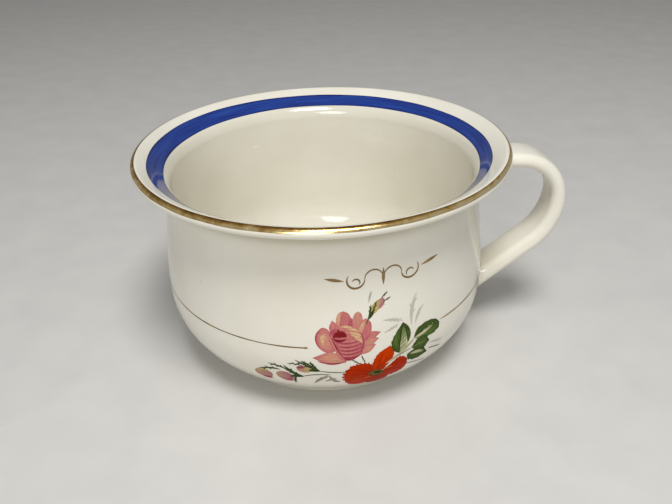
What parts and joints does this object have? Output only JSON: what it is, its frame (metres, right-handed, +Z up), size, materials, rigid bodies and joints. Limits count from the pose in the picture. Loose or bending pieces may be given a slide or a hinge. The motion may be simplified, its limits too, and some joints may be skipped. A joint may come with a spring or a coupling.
{
  "type": "chamber pot",
  "caption": "Round glazed earthenware pot with a flared rim, a foot ring and a strap handle, banded in blue and gilt with a printed rose spray.",
  "frame": {"origin": "centre of the foot ring, on the table plane and the pot's axis", "axes": "+Z up along the pot's axis, +X from the axis towards the handle, -Y to the front with the spray"},
  "size_m": [0.2567, 0.22, 0.1303],
  "materials": {
    "glazed_body": "clear glaze over cream earthenware",
    "blue_enamel": "fired cobalt blue enamel",
    "gilding": "burnished liquid gold",
    "pink_enamel": "fired transfer enamel",
    "orange_enamel": "fired transfer enamel",
    "green_enamel": "fired transfer enamel",
    "grey_enamel": "fired transfer enamel"
  },
  "bodies": {
    "root": {"bowl": "glazed_body", "handle": "glazed_body", "upper_slip_seam": "glazed_body", "lower_slip_seam": "glazed_body", "blue_band": "blue_enamel", "gilt_rim_line": "gilding", "gilt_belly_line": "gilding", "gilt_flourish": "gilding", "rose_print": "pink_enamel", "bud_print": "pink_enamel", "poppy_print": "orange_enamel", "leaf_print": "green_enamel", "stem_print": "green_enamel", "sprig_print": "grey_enamel"}
  },
  "joints": []
}
